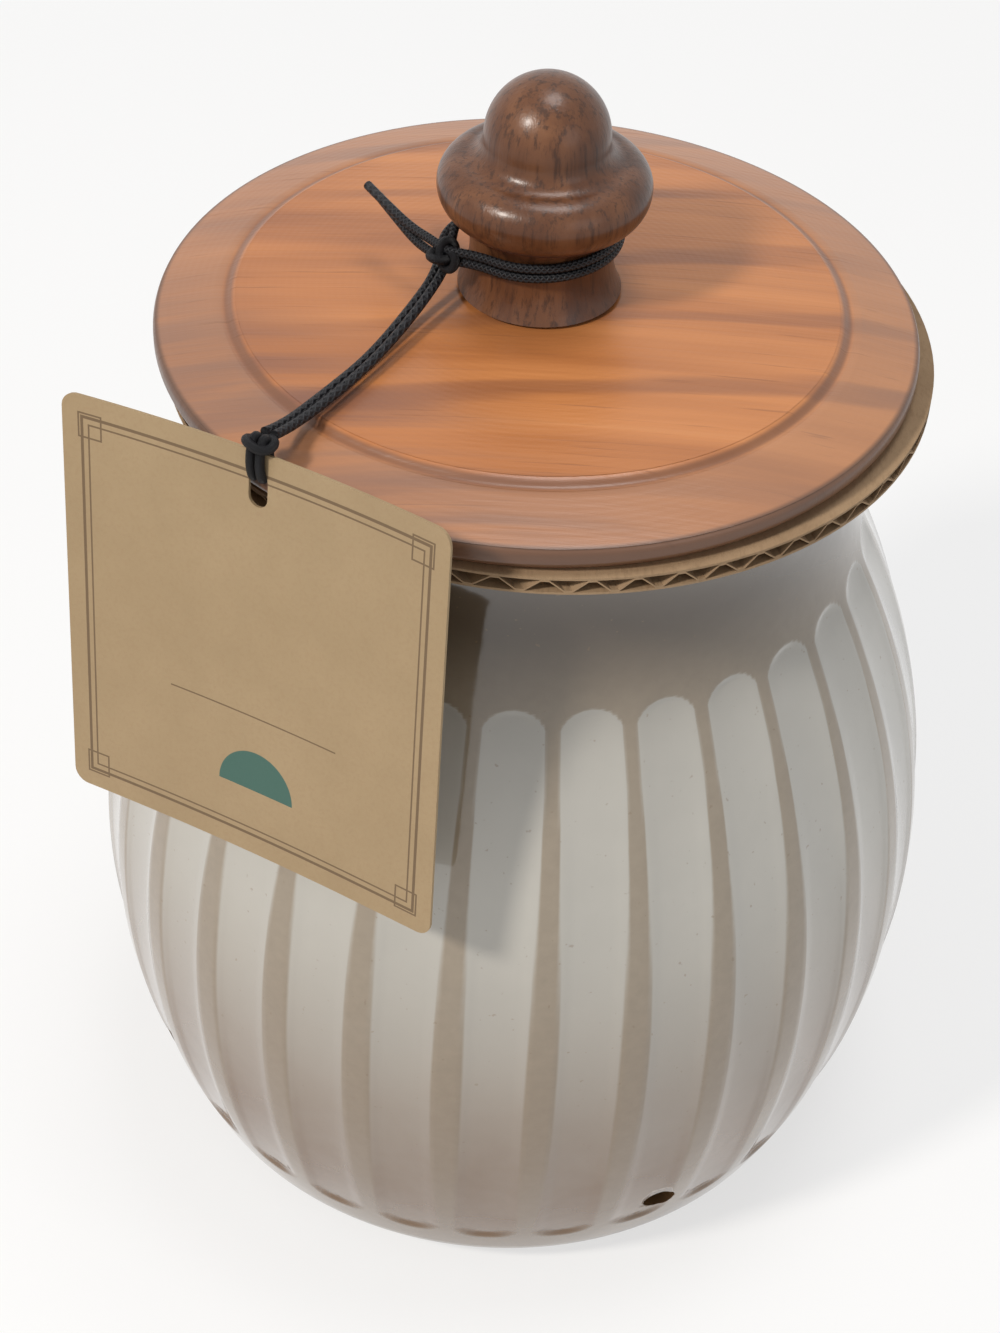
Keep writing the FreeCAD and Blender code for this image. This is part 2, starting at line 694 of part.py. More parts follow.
print("hitch", HITCH, "along", CARD_ALONG)
os.makedirs("parts", exist_ok=True)
for thing in parts:
    thing.Shape.exportStep(f"parts/{thing.Label}.step")
    faces = len(thing.Shape.Faces)
    facets = len(thing.Shape.tessellate(0.1)[1])
    box = thing.Shape.BoundBox
    print(f"{thing.Label}: {len(thing.Shape.Solids)} solid, {faces} faces, {facets} facets,"
          f" x {box.XMin:.1f} {box.XMax:.1f} y {box.YMin:.1f} {box.YMax:.1f} z {box.ZMin:.1f} {box.ZMax:.1f}")
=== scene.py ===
# %% [markdown]
# A garlic keeper is a fluted stoneware jar with vent holes, under a turned wooden lid. This lesson
# dresses its construction model, which is imported as a fixed frame and never moved. Every new
# piece is worked out in the same frame, in metres, so nothing has to be fitted afterwards.

# %% The frame
import math

import bpy
import numpy as np
from mathutils import Matrix, Vector


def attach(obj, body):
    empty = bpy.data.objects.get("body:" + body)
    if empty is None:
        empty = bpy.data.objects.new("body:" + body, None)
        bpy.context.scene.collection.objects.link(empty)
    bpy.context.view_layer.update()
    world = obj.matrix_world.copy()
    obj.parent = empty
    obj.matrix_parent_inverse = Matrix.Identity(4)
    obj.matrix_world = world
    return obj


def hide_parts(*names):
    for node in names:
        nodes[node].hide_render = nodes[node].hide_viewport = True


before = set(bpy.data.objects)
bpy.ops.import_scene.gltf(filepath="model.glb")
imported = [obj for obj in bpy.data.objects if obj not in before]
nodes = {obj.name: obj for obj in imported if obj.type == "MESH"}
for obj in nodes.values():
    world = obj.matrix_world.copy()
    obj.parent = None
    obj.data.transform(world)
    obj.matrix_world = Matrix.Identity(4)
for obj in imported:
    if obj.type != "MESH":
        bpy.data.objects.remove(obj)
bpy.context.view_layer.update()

MM = 0.001
bpy.context.scene.view_settings.view_transform = "Standard"
print("nodes", sorted(nodes))

# %% [markdown]
# The camera stands where the photographer's phone was: in front, above, and looking down by
# 42 degrees with a slight tilt. Its three axes are worked out from those angles, because a
# rotation written as three Euler numbers would say less about how the picture was taken.

# %% Camera
FRAME_WIDTH = 1000
FOCAL_PIXELS = 2459.3
SENSOR_WIDTH = 36
camera_yaw, camera_pitch, camera_roll = (math.radians(a) for a in (-0.54, 41.89, 2.91))
camera_place = Vector((0, -335.14, 395.11)) * MM
ahead = Vector((
    math.sin(camera_yaw) * math.cos(camera_pitch),
    math.cos(camera_yaw) * math.cos(camera_pitch),
    -math.sin(camera_pitch),
))
level_right = ahead.cross(Vector((0, 0, 1))).normalized()
level_up = level_right.cross(ahead)
right = level_right * math.cos(camera_roll) + level_up * math.sin(camera_roll)
up = level_up * math.cos(camera_roll) - level_right * math.sin(camera_roll)

camera_data = bpy.data.cameras.new("camera")
camera_data.sensor_fit = "HORIZONTAL"
camera_data.sensor_width = SENSOR_WIDTH
camera_data.lens = FOCAL_PIXELS * SENSOR_WIDTH / FRAME_WIDTH
camera_data.clip_start = 0.01
camera = bpy.data.objects.new("camera", camera_data)
bpy.context.collection.objects.link(camera)
camera_axes = Matrix((right, up, -ahead)).transposed().to_4x4()
camera.matrix_world = Matrix.Translation(camera_place) @ camera_axes
bpy.context.scene.camera = camera
print("lens", round(camera_data.lens, 1), "mm")

# %% [markdown]
# Shader maths reads best as plain expressions. One small class wraps a socket and overloads the
# operators, and another holds a material and adds its nodes, settings first and inputs second.

# %% Shader helpers
class Value:
    """A number or colour that varies over a surface: a node's output with Python's operators."""

    def __init__(self, finish, socket):
        self.finish = finish
        self.socket = socket

    def maths(self, operation, *inputs):
        node = self.finish.node("ShaderNodeMath", {"operation": operation}, dict(enumerate(inputs)))
        return Value(self.finish, node.outputs[0])

    def __add__(self, other):
        return self.maths("ADD", self, other)

    def __sub__(self, other):
        return self.maths("SUBTRACT", self, other)

    def __rsub__(self, other):
        return self.maths("SUBTRACT", other, self)

    def __mul__(self, other):
        return self.maths("MULTIPLY", self, other)

    def __pow__(self, other):
        return self.maths("POWER", self, other)

    def __abs__(self):
        return self.maths("ABSOLUTE", self)

    def __lt__(self, other):
        return self.maths("LESS_THAN", self, other)

    def __gt__(self, other):
        return self.maths("GREATER_THAN", self, other)

    __radd__ = __add__
    __rmul__ = __mul__

    def least(self, other):
        return self.maths("MINIMUM", self, other)

    def most(self, other):
        return self.maths("MAXIMUM", self, other)

    def sine(self):
        return self.maths("SINE", self)

    def step(self, low, high):
        """0 below low, 1 above high and a smooth rise between them."""
        node = self.finish.node(
            "ShaderNodeMapRange", {"interpolation_type": "SMOOTHSTEP"}, {0: self, 1: low, 2: high}
        )
        return Value(self.finish, node.outputs[0])


class Finish:
    """A material and the few ways in which its nodes are added."""

    def __init__(self, name, **constants):
        self.material = bpy.data.materials.new(name)
        self.material.use_nodes = True
        self.tree = self.material.node_tree
        self.shader = self.tree.nodes["Principled BSDF"]
        for socket, value in constants.items():
            self.shader.inputs[socket.replace("_", " ")].default_value = value

    def feed(self, socket, value):
        """Links a Value to a socket, or sets the socket to a plain number, colour or vector."""
        if isinstance(value, Value):
            self.tree.links.new(value.socket, socket)
        elif isinstance(value, (tuple, list)) and socket.type == "RGBA" and len(value) == 3:
            socket.default_value = (*value, 1)
        else:
            socket.default_value = value

    def node(self, kind, settings=None, inputs=None):
        """One node of a kind: its settings first, a ramp's stops among them, and then its inputs."""
        made = self.tree.nodes.new(kind)
        for key, setting in (settings or {}).items():
            if key == "stops":
                for index, (place, colour) in enumerate(setting):
                    ramp = made.color_ramp.elements
                    stop = ramp[index] if index < len(ramp) else ramp.new(place)
                    stop.position, stop.color = place, (*colour, 1)
            else:
                setattr(made, key, setting)
        for key, value in (inputs or {}).items():
            self.feed(made.inputs[key], value)
        return made

    def place(self, turn=(0, 0, 0), size=(1, 1, 1), move=(0, 0, 0)):
        """Object coordinates, turned and stretched for a pattern."""
        start = self.node("ShaderNodeTexCoord").outputs["Object"]
        node = self.node("ShaderNodeMapping", None, {
            "Vector": Value(self, start), "Rotation": turn, "Scale": size, "Location": move,
        })
        return Value(self, node.outputs[0])

    def noise(self, where, scale, detail=3.0, roughness=0.5, distortion=0.0):
        node = self.node("ShaderNodeTexNoise", None, {
            "Vector": where, "Scale": scale, "Detail": detail, "Roughness": roughness,
            "Distortion": distortion,
        })
        return Value(self, node.outputs[0])

    def wave(self, where, scale, distortion, detail=2.0, detail_scale=1.0):
        node = self.node("ShaderNodeTexWave", {"wave_profile": "SIN"}, {
            "Vector": where, "Scale": scale, "Distortion": distortion, "Detail": detail,
            "Detail Scale": detail_scale,
        })
        return Value(self, node.outputs["Fac"])

    def parts(self, vector):
        node = self.node("ShaderNodeSeparateXYZ", None, {0: vector})
        return [Value(self, socket) for socket in node.outputs]

    def ramp(self, value, stops):
        node = self.node("ShaderNodeValToRGB", {"stops": stops}, {0: value})
        return Value(self, node.outputs[0])

    def mix(self, share, first, second, blend="MIX"):
        node = self.node(
            "ShaderNodeMix", {"data_type": "RGBA", "blend_type": blend}, {0: share, 6: first, 7: second}
        )
        return Value(self, node.outputs[2])

    def attribute(self, name):
        node = self.node("ShaderNodeAttribute", {"attribute_name": name})
        return Value(self, node.outputs["Fac"])

    def uv(self):
        return Value(self, self.node("ShaderNodeUVMap", {"uv_map": "UVMap"}).outputs[0])

    def bump(self, height, distance, strength=1.0):
        node = self.node("ShaderNodeBump", None, {
            "Height": height, "Distance": distance, "Strength": strength,
        })
        self.feed(self.shader.inputs["Normal"], Value(self, node.outputs[0]))

    def paint(self, **inputs):
        for socket, value in inputs.items():
            self.feed(self.shader.inputs[socket.replace("_", " ")], value)
        return self.material


# %% [markdown]
# Nearly everything here was made on a wheel or a lathe, so most pieces are one profile carried
# round the upright axis. A profile is an array of (radius, height) rows that starts and ends on
# the axis, goes up the outside and comes back down the inside, so that all faces point outwards.

# %% Turned surfaces
def mesh_piece(name, points, faces, material, slot, body, sharp=40):
    """A finished mesh from arrays, smooth but for edges sharper than the given angle."""
    mesh = bpy.data.meshes.new(name)
    mesh.from_pydata(points.tolist(), [], faces)
    mesh.shade_smooth()
    mesh.set_sharp_from_angle(angle=math.radians(sharp))
    mesh.materials.append(material)
    piece = bpy.data.objects.new(name, mesh)
    bpy.context.collection.objects.link(piece)
    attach(piece, body)
    print(name, len(points), "points", len(faces), "faces")
    return piece


def arc(middle, radius, start, end, count=12):
    """Points of an arc: the middle plus radius times (cos, sin) of evenly spaced angles in degrees."""
    turn = np.radians(np.linspace(start, end, count))
    return np.stack([middle[0] + radius * np.cos(turn), middle[1] + radius * np.sin(turn)], axis=1)


def eased(corners, count=6):
    """An outline whose corners, rows of (radius, height, ease), are eased by parabolas.

    Each corner becomes (1-s)^2 A + 2s(1-s) P + s^2 B, with A and B at the ease from P.
    """
    corners = np.array(corners, float)
    place, ease = corners[:, :2], corners[:, 2:]
    share = np.linspace(0, 1, count)[:, None]
    rows = [place[:1]]
    for before, here, after, cut in zip(place, place[1:], place[2:], ease[1:]):
        back = here + (before - here) / np.linalg.norm(before - here) * cut
        on = here + (after - here) / np.linalg.norm(after - here) * cut
        rows.append((1 - share) ** 2 * back + 2 * share * (1 - share) * here + share ** 2 * on)
    rows.append(place[-1:])
    return np.concatenate(rows)


def turned(profile, turns, dent=None):
    """Points and faces of a closed turned form: (r cos a, r sin a, z), less a dent in the radius."""
    rings = profile[1:-1] * MM
    radius, height = rings[:, :1], rings[:, 1:]
    if dent is not None:
        radius = radius - dent
    across = np.broadcast_to(height, (len(rings), len(turns)))
    grid = np.stack([radius * np.cos(turns), radius * np.sin(turns), across], axis=-1)
    rows, columns = grid.shape[:2]
    ends = np.array([[0, 0, profile[0, 1] * MM], [0, 0, profile[-1, 1] * MM]])
    points = np.concatenate([grid.reshape(-1, 3), ends])
    index = np.arange(rows * columns).reshape(rows, columns)
    beside = np.roll(index, -1, axis=1)
    quads = np.stack([index[:-1], beside[:-1], beside[1:], index[1:]], axis=-1).reshape(-1, 4)
    first, last = rows * columns, rows * columns + 1
    start = np.stack([np.full(columns, first), beside[0], index[0]], axis=1)
    finish = np.stack([index[-1], beside[-1], np.full(columns, last)], axis=1)
    return points, quads.tolist() + start.tolist() + finish.tolist()


# %% [markdown]
# The cord is tied before anything is dressed, because its route decides where the card hangs. Each
# strand starts at its cut tail, goes through the knot, round the knob's neck and on to the card.
# The points are the construction model's own, and a smooth spline passes near them.

# %% Cord
CORD_RADIUS = 0.75 * MM
KNOT = Vector((-14.9, -7.2, 186.4)) * MM
STRANDS_APART = 1.7
WRAP_RADIUS, WRAP_HEIGHT, WRAP_CLIMB, WRAP_STEPS = 12.7, 185.6, 2.1, 13
WRAP_FROM, WRAP_TO = math.radians(-48), math.radians(262)
BIGHT = 2.2
CARD_TOP = Vector((-39.4, -48.9, 177.5)) * MM
CARD_SIZE = (71.0, 71.5)
CARD_THICK = 0.5
HITCH_RISE = 2.2
card_turn = (
    Matrix.Rotation(math.radians(-30.3), 3, "Z")
    @ Matrix.Rotation(math.radians(-4.2), 3, "Y")
    @ Matrix.Rotation(math.radians(-10.0), 3, "X")
)
strands = {
    "cord_a": {
        "tail": [(-28.2, 7.0, 189.6), (-24.8, 2.6, 188.9), (-20.6, -1.4, 187.4), (-17.2, -4.6, 187.4)],
        "lift": 1,
        "to_card": [(-14.0, -0.6, 187.2), (-14.4, -5.2, 183.6), (-18.0, -13.2, 181.0),
                    (-23.9, -25.0, 178.9), (-30.2, -35.3, 178.1), (-35.4, -43.0, 177.9)],
        "side": 0.9,
    },
    "cord_b": {
        "tail": [(-26.4, 6.6, 188.0), (-23.2, 1.6, 187.2), (-19.8, -2.6, 185.7), (-17.0, -5.6, 185.6)],
        "lift": 0,
        "to_card": [(-15.8, 0.2, 185.4), (-16.1, -5.5, 182.3), (-19.7, -12.6, 179.9),
                    (-25.4, -24.0, 177.9), (-31.6, -34.3, 177.8), (-36.8, -42.2, 177.6)],
        "side": -0.9,
    },
}
hitch = CARD_TOP + card_turn @ Vector((0, CARD_THICK / 2, HITCH_RISE)) * MM


def strand_points(strand):
    """Tail, knot, the turn round the neck on a circle that climbs behind, and the run to the card."""
    lift = strand["lift"] * STRANDS_APART
    points = [Vector(p) * MM for p in strand["tail"]]
    points.append(KNOT + Vector((0, 0, lift - STRANDS_APART / 2)) * MM)
    for i in range(WRAP_STEPS):
        share = i / (WRAP_STEPS - 1)
        turn = WRAP_FROM + (WRAP_TO - WRAP_FROM) * share
        height = WRAP_HEIGHT + WRAP_CLIMB * math.sin(math.pi * min(share * 1.5, 1) / 2) + lift
        across, back = WRAP_RADIUS * math.sin(turn), -WRAP_RADIUS * math.cos(turn)
        points.append(Vector((across, back, height)) * MM)
    points += [Vector(p) * MM for p in strand["to_card"]]
    points.append(hitch + card_turn @ Vector((strand["side"], BIGHT, 0)) * MM)
    return points


def cord_finish():
    """Black waxed braid: slanting ridges crossed both ways, with a soft shine on their tops."""
    finish = Finish("waxed_braid", Roughness=0.45, Specular_IOR_Level=0.25)
    along, around, _ = finish.parts(finish.uv())
    braid_pitch, braid_plies = 150, 4
    turns_along, turns_around = along * braid_pitch, around * braid_plies
    one = ((turns_along + turns_around) * math.tau).sine()
    other = ((turns_along - turns_around) * math.tau).sine()
    braid = one.most(other) * 0.5 + 0.5
    finish.bump(braid, 0.0003, 0.8)
    colour = finish.mix(braid, (0.003, 0.003, 0.004), (0.018, 0.018, 0.021))
    return finish.paint(Base_Color=colour)


braid = cord_finish()


def cord_piece(name, points):
    curve = bpy.data.curves.new(name, "CURVE")
    curve.dimensions = "3D"
    curve.bevel_depth = CORD_RADIUS
    curve.bevel_resolution = 3
    curve.resolution_u = 6
    curve.use_fill_caps = True
    spline = curve.splines.new("NURBS")
    spline.points.add(len(points) - 1)
    for knot, point in zip(spline.points, points):
        knot.co = (*point, 1)
    spline.order_u = 3
    spline.use_endpoint_u = True
    curve.materials.append(braid)
    piece = bpy.data.objects.new(name, curve)
    bpy.context.collection.objects.link(piece)
    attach(piece, "lid")
    return piece


for name, strand in strands.items():
    cord_piece(name + "_braid", strand_points(strand))
    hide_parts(name)


# %% [markdown]
# The knot and the hitch on the card are short closed loops of the same cord. Each is a tube
# carried along a curve that has a formula, with its frame worked out from the curve's tangent.

# %% Knot and hitch
def tube_loops(name, loops, radius, body, replaced):
    """Closed tubes: each loop's points, plus radius times (cos, sin) across its tangent."""
    sides = 12
    around = np.linspace(0, 2 * np.pi, sides, endpoint=False)
    points, faces, shares = [], [], []
    for path in loops:
        tangent = np.roll(path, -1, axis=0) - np.roll(path, 1, axis=0)
        tangent /= np.linalg.norm(tangent, axis=1, keepdims=True)
        out = path - path.mean(axis=0)
        out -= (out * tangent).sum(axis=1, keepdims=True) * tangent
        out /= np.linalg.norm(out, axis=1, keepdims=True)
        side = np.cross(tangent, out)
        ring = (path[:, None] + radius * (np.cos(around)[:, None] * out[:, None]
                                          + np.sin(around)[:, None] * side[:, None]))
        count = len(path)
        index = np.arange(count * sides).reshape(count, sides) + sum(len(p) for p in points)
        ahead_of = np.roll(index, -1, axis=0)
        beside, corner = np.roll(index, -1, axis=1), np.roll(ahead_of, -1, axis=1)
        quads = np.stack([index, ahead_of, corner, beside], -1)
        faces += quads.reshape(-1, 4).tolist()
        points.append(ring.reshape(-1, 3))
        share = np.linspace(0, 1, count, endpoint=False)
        shares.append(np.stack(np.broadcast_arrays(share[:, None], around[None] / (2 * np.pi)), -1))
    points = np.concatenate(points)
    piece = mesh_piece(name, points, faces, braid, "waxed_cord", body)
    corner = np.concatenate([s.reshape(-1, 2) for s in shares])
    layer = piece.data.uv_layers.new(name="UVMap")
    loop_points = np.zeros(len(piece.data.loops), int)
    piece.data.loops.foreach_get("vertex_index", loop_points)
    layer.data.foreach_set("uv", corner[loop_points].ravel())
    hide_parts(replaced)
    return piece


def in_card(along, back, rise):
    """Arrays in the card's own frame, in millimetres, as points in the row frame."""
    local = np.stack(np.broadcast_arrays(along, back, rise), axis=-1) * MM
    return local @ np.array(card_turn).T + np.array(CARD_TOP)


turn = np.linspace(0, 2 * np.pi, 96, endpoint=False)
KNOT_REACH = 0.78
trefoil = np.stack([
    np.sin(turn) + 2 * np.sin(2 * turn),
    np.cos(turn) - 2 * np.cos(2 * turn),
    -1.2 * np.sin(3 * turn),
], axis=1) * KNOT_REACH * MM
knot_tilt = np.array(
    Matrix.Rotation(math.radians(40), 3, "X") @ Matrix.Rotation(math.radians(35), 3, "Z")
)
knot_piece = tube_loops("cord_overhand_knot", [trefoil @ knot_tilt.T + np.array(KNOT)],
                        CORD_RADIUS, "lid", "cord_knot")
head_loops = [
    in_card(side * 0.85, 0.25 + 1.15 * np.sin(turn), -0.9 + 3.2 * np.cos(turn)) for side in (-1, 1)
]
head_band = in_card(2.2 * np.cos(turn), 0.25 + 1.75 * np.sin(turn), 1.5 + 0.3 * np.sin(2 * turn))
hitch_piece = tube_loops("cord_larks_head", head_loops + [head_band],
                         CORD_RADIUS, "tag", "cord_tag_hitch")

# %% [markdown]
# Each strand leaves the hitch on the card, and its far end is the cut tail beside the knot. Here the
# point where each strand leaves is worked out.

# %% Cord facts
for name, strand in strands.items():
    leaves = strand_points(strand)[-1]

# %% [markdown]
# The jar's outside is two arcs, a long one over the belly and a short hollow one up to the lip.
# Thirty flutes are pressed into it. Across, a flute is a shallow hollow of one radius; it is as
# deep as its width allows, and it ends in round arches at its top and bottom.

# %% Jar sizes
BELLY_RADIUS, BELLY_HEIGHT, BELLY_ARC = 76.0, 63.0, 150.0
WAIST_RADIUS, WAIST_ARC = 55.0, 40.7
JAR_HEIGHT, WALL = 165.0, 5.0
LIP_LOW = JAR_HEIGHT - 1.4
FOOT_RADIUS, FOOT_WIDTH, FOOT_RECESS, FOOT_CURVE, FLOOR = 57.0, 7.0, 2.0, 7.0, 8.0
FLUTES, RIDGE_WIDTH, FLUTE_HOLLOW, FLUTE_LOW, FLUTE_HIGH = 30, 2.0, 52.0, 14.0, 137.0
ARCH_EASE, EDGE_FADE, RIDGE_REACH = 1.08, 1.3, 0.7
belly_centre = BELLY_RADIUS - BELLY_ARC
across = WAIST_RADIUS - belly_centre
rise = math.sqrt((BELLY_ARC + WAIST_ARC) ** 2 - (across + WAIST_ARC) ** 2)
WAIST_HEIGHT = BELLY_HEIGHT + rise
waist_centre = WAIST_RADIUS + WAIST_ARC
join_height = BELLY_HEIGHT + rise * BELLY_ARC / (BELLY_ARC + WAIST_ARC)


def wall_radius(height, inset=0.0):
    """The belly's arc below the join and the waist's above it, moved in by the inset."""
    belly = belly_centre + np.sqrt((BELLY_ARC - inset) ** 2 - (height - BELLY_HEIGHT) ** 2)
    hollow = np.maximum((WAIST_ARC + inset) ** 2 - (height - WAIST_HEIGHT) ** 2, 0)
    return np.where(height < join_height, belly, waist_centre - np.sqrt(hollow))


def flute_dent(radius, height, turns):
    """How far the glaze lies below the ridges, and how near a ridge's top it is (0 to 1).

    Across a flute the dent is (w^2 - s^2) / 2 times (1/R + 1/hollow), for a half width w and a
    distance s from its middle. It fades out near its outline, two upright sides and a round arch
    at each end, by the true distance to that outline, so the arches stay even.
    """
    pitch = 2 * np.pi / FLUTES
    from_middle = np.abs((turns + np.pi / 2 + pitch / 2) % pitch - pitch / 2)
    sideways = radius * np.sin(from_middle)
    half = radius * math.sin(pitch / 2) - RIDGE_WIDTH / 2
    dent = (half ** 2 - sideways ** 2) / 2 * (1 / radius + 1 / FLUTE_HOLLOW)
    inside = half - sideways
    for arch_at, end, way in ((join_height, FLUTE_HIGH, 1), (FLUTE_LOW, FLUTE_LOW, -1)):
        arch = ARCH_EASE * (wall_radius(np.array(arch_at)) * math.sin(pitch / 2) - RIDGE_WIDTH / 2)
        beyond = np.maximum(way * (height - end) + arch, 0)
        inside = np.minimum(inside, arch - np.hypot(sideways, beyond))
    fade = np.clip(inside / EDGE_FADE, 0, 1)
    soft = fade ** 2 * (3 - 2 * fade)
    ridge = 1 - np.clip(inside / RIDGE_REACH, 0, 1)
    return np.maximum(dent, 0) * soft, ridge


# %% [markdown]
# The jar is thrown as one closed profile: under the foot, up the outside, over the lip and down
# the inside to the middle of the floor. The columns crowd towards the ridges, where the surface
# turns fastest.

# %% Jar
COLUMNS_PER_FLUTE, INNER_ROWS = 16, 30
column = np.arange(FLUTES * COLUMNS_PER_FLUTE) / COLUMNS_PER_FLUTE
crowded = column - 0.105 * np.sin(2 * np.pi * column)
jar_turns = (crowded + 0.5) * 2 * np.pi / FLUTES - np.pi / 2
outer_heights = np.concatenate([
    np.linspace(start, end, rows, endpoint=False) for start, end, rows in (
        (FOOT_CURVE, FLUTE_LOW - 1, 5), (FLUTE_LOW - 1, 23, 22), (23, 124, 34),
        (124, FLUTE_HIGH + 1, 36), (FLUTE_HIGH + 1, LIP_LOW, 17),
    )
] + [[LIP_LOW]])
inner_heights = np.linspace(LIP_LOW, FLOOR + WALL, INNER_ROWS)
foot_curve_radius = float(wall_radius(np.array(FOOT_CURVE)))
lip_out = float(wall_radius(np.array(LIP_LOW)))
lip_in = float(wall_radius(np.array(LIP_LOW), WALL))
floor_edge = float(wall_radius(np.array(FLOOR + WALL), WALL))
foot = eased([(0, FOOT_RECESS, 0), (FOOT_RADIUS - FOOT_WIDTH, FOOT_RECESS, 1.0),
              (FOOT_RADIUS - FOOT_WIDTH, 0, 0.8), (FOOT_RADIUS, 0, 0.8),
              (FOOT_RADIUS + 3.8, 2.6, 3.0), (foot_curve_radius, FOOT_CURVE, 0)])
lip = eased([(lip_out, LIP_LOW, 0), (lip_out + 0.3, JAR_HEIGHT, 1.3),
             (lip_in + 0.1, JAR_HEIGHT, 1.3), (lip_in, LIP_LOW, 0)])
floor = eased([(floor_edge, FLOOR + WALL, 0), (floor_edge - 2.2, FLOOR, 3.5), (0, FLOOR, 0)])
jar_profile = np.concatenate([
    foot[:-1],
    np.stack([wall_radius(outer_heights), outer_heights], axis=1),
    lip[1:-1],
    np.stack([wall_radius(inner_heights, WALL), inner_heights], axis=1),
    floor[1:],
])
outside = np.arange(len(jar_profile) - 2) < len(foot) - 2 + len(outer_heights)
ring_radius, ring_height = jar_profile[1:-1, :1], jar_profile[1:-1, 1:]
dent, ridge = flute_dent(ring_radius, ring_height, jar_turns[None])
dent = np.where(outside[:, None], dent, 0)
ridge = np.where(outside[:, None], ridge, 0.3)
jar_points, jar_faces = turned(jar_profile, jar_turns, dent * MM)


def glaze_finish():
    """Cream glaze, thin and tan where it runs off the ridges, with painted reflection and shade
    browning it towards the foot and painted shade darkening the neck.
    """
    finish = Finish("cream_glaze", Roughness=0.10, IOR=1.52, Coat_Weight=0.45, Coat_Roughness=0.05)
    where = finish.place()
    height = finish.parts(where)[2]
    blotch = finish.noise(where, 28, 4, 0.6)
    fine = finish.noise(where, 420, 2, 0.6)
    ridge_share = finish.attribute("ridge")
    # Painted reflection and shade: the glaze turns brown towards the foot, on panels and ridges, as if
    # it mirrored warm surroundings and lay in shade.
    low = 1 - height.step(0.014, 0.108)
    panel = finish.mix(blotch, (0.400, 0.385, 0.350), (0.520, 0.500, 0.455))
    panel = finish.mix((low * (0.70 + blotch * 0.7)).least(1), panel, (0.165, 0.092, 0.042))
    tan = finish.mix(fine, (0.215, 0.160, 0.100), (0.290, 0.225, 0.150))
    worn = (ridge_share + (blotch - 0.5) * 0.4).step(0.45, 1.0)
    colour = finish.mix(worn * 0.80, panel, finish.mix(low * 0.6, tan, (0.150, 0.088, 0.042)))
    # Painted shade: the neck under the lid's overhang is darkened in the colour.
    neck = height.step(0.128, 0.153)
    colour = finish.mix(neck * 0.92, colour, (0.060, 0.042, 0.028))
    speck = finish.noise(where, 900, 1, 0.5).step(0.72, 0.80)
    colour = finish.mix(speck * 0.35, colour, (0.20, 0.13, 0.07))
    finish.bump(blotch + fine * 0.04, 0.0009, 0.35)
    return finish.paint(Base_Color=colour)


glaze = glaze_finish()
jar = mesh_piece("jar_fluted", jar_points, jar_faces, glaze, "glazed_stoneware", "jar", 60)
ridge_layer = jar.data.attributes.new("ridge", "FLOAT", "POINT")
ridge_layer.data.foreach_set("value", np.append(ridge.ravel(), (0.3, 0.3)).astype(np.float32))

# %% [markdown]
# Four small holes low in the wall let the bulbs breathe. Each is drilled with a round cutter that
# is taken away again, and the result is kept as the jar's own mesh.

# %% Vent holes
VENTS, VENT_RADIUS, VENT_HEIGHT, VENT_TURN = 4, 3.0, 21.0, 27.0


def vent_cutter():
    """Bars of round section from inside the wall to outside it, one for each hole."""
    around = np.linspace(0, 2 * np.pi, 40, endpoint=False)
    points, faces = [], []
    for i in range(VENTS):
        facing = math.radians(VENT_TURN + 360 / VENTS * i)
        out = np.array([math.sin(facing), -math.cos(facing), 0])
        side = np.array([math.cos(facing), math.sin(facing), 0])
        upward = np.array([0, 0, 1])
        ring = VENT_RADIUS * (side * np.cos(around)[:, None] + upward * np.sin(around)[:, None])
        middle = np.array([0, 0, VENT_HEIGHT])
        base = len(points) * 2 * len(around)
        points.append(np.concatenate([ring + out * 55 + middle, ring + out * 85 + middle]))
        here = np.arange(len(around)) + base
        beside = np.roll(here, -1)
        faces += np.stack([here, beside, beside + len(around), here + len(around)], axis=1).tolist()
        faces.append(here[::-1].tolist())
        faces.append((here + len(around)).tolist())
    mesh = bpy.data.meshes.new("vent_cutter")
    mesh.from_pydata((np.concatenate(points) * MM).tolist(), [], faces)
    cutter = bpy.data.objects.new("vent_cutter", mesh)
    bpy.context.collection.objects.link(cutter)
    return cutter


cutter = vent_cutter()
drill = jar.modifiers.new("vents", "BOOLEAN")
drill.operation = "DIFFERENCE"
drill.solver = "EXACT"
drill.object = cutter
bpy.context.view_layer.update()
drilled = bpy.data.meshes.new_from_object(jar.evaluated_get(bpy.context.evaluated_depsgraph_get()))
jar.modifiers.clear()
jar.data = drilled
bpy.data.objects.remove(cutter)
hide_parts("jar")
print("jar after drilling", len(drilled.polygons), "faces")

# %% [markdown]
# The lid is turned from one board of acacia. Its growth rings cross the disc as long, slightly
# wavy bands, with fine pores along them, and the oiled surface has a low shine. The pattern is
# stretched along the grain, so one turn of the coordinates sets the board's direction.

# %% Lid
LID_RADIUS, LID_BASE, LID_TOP = 61.85, 168.0, 177.4
GRAIN_TURN = math.radians(38)


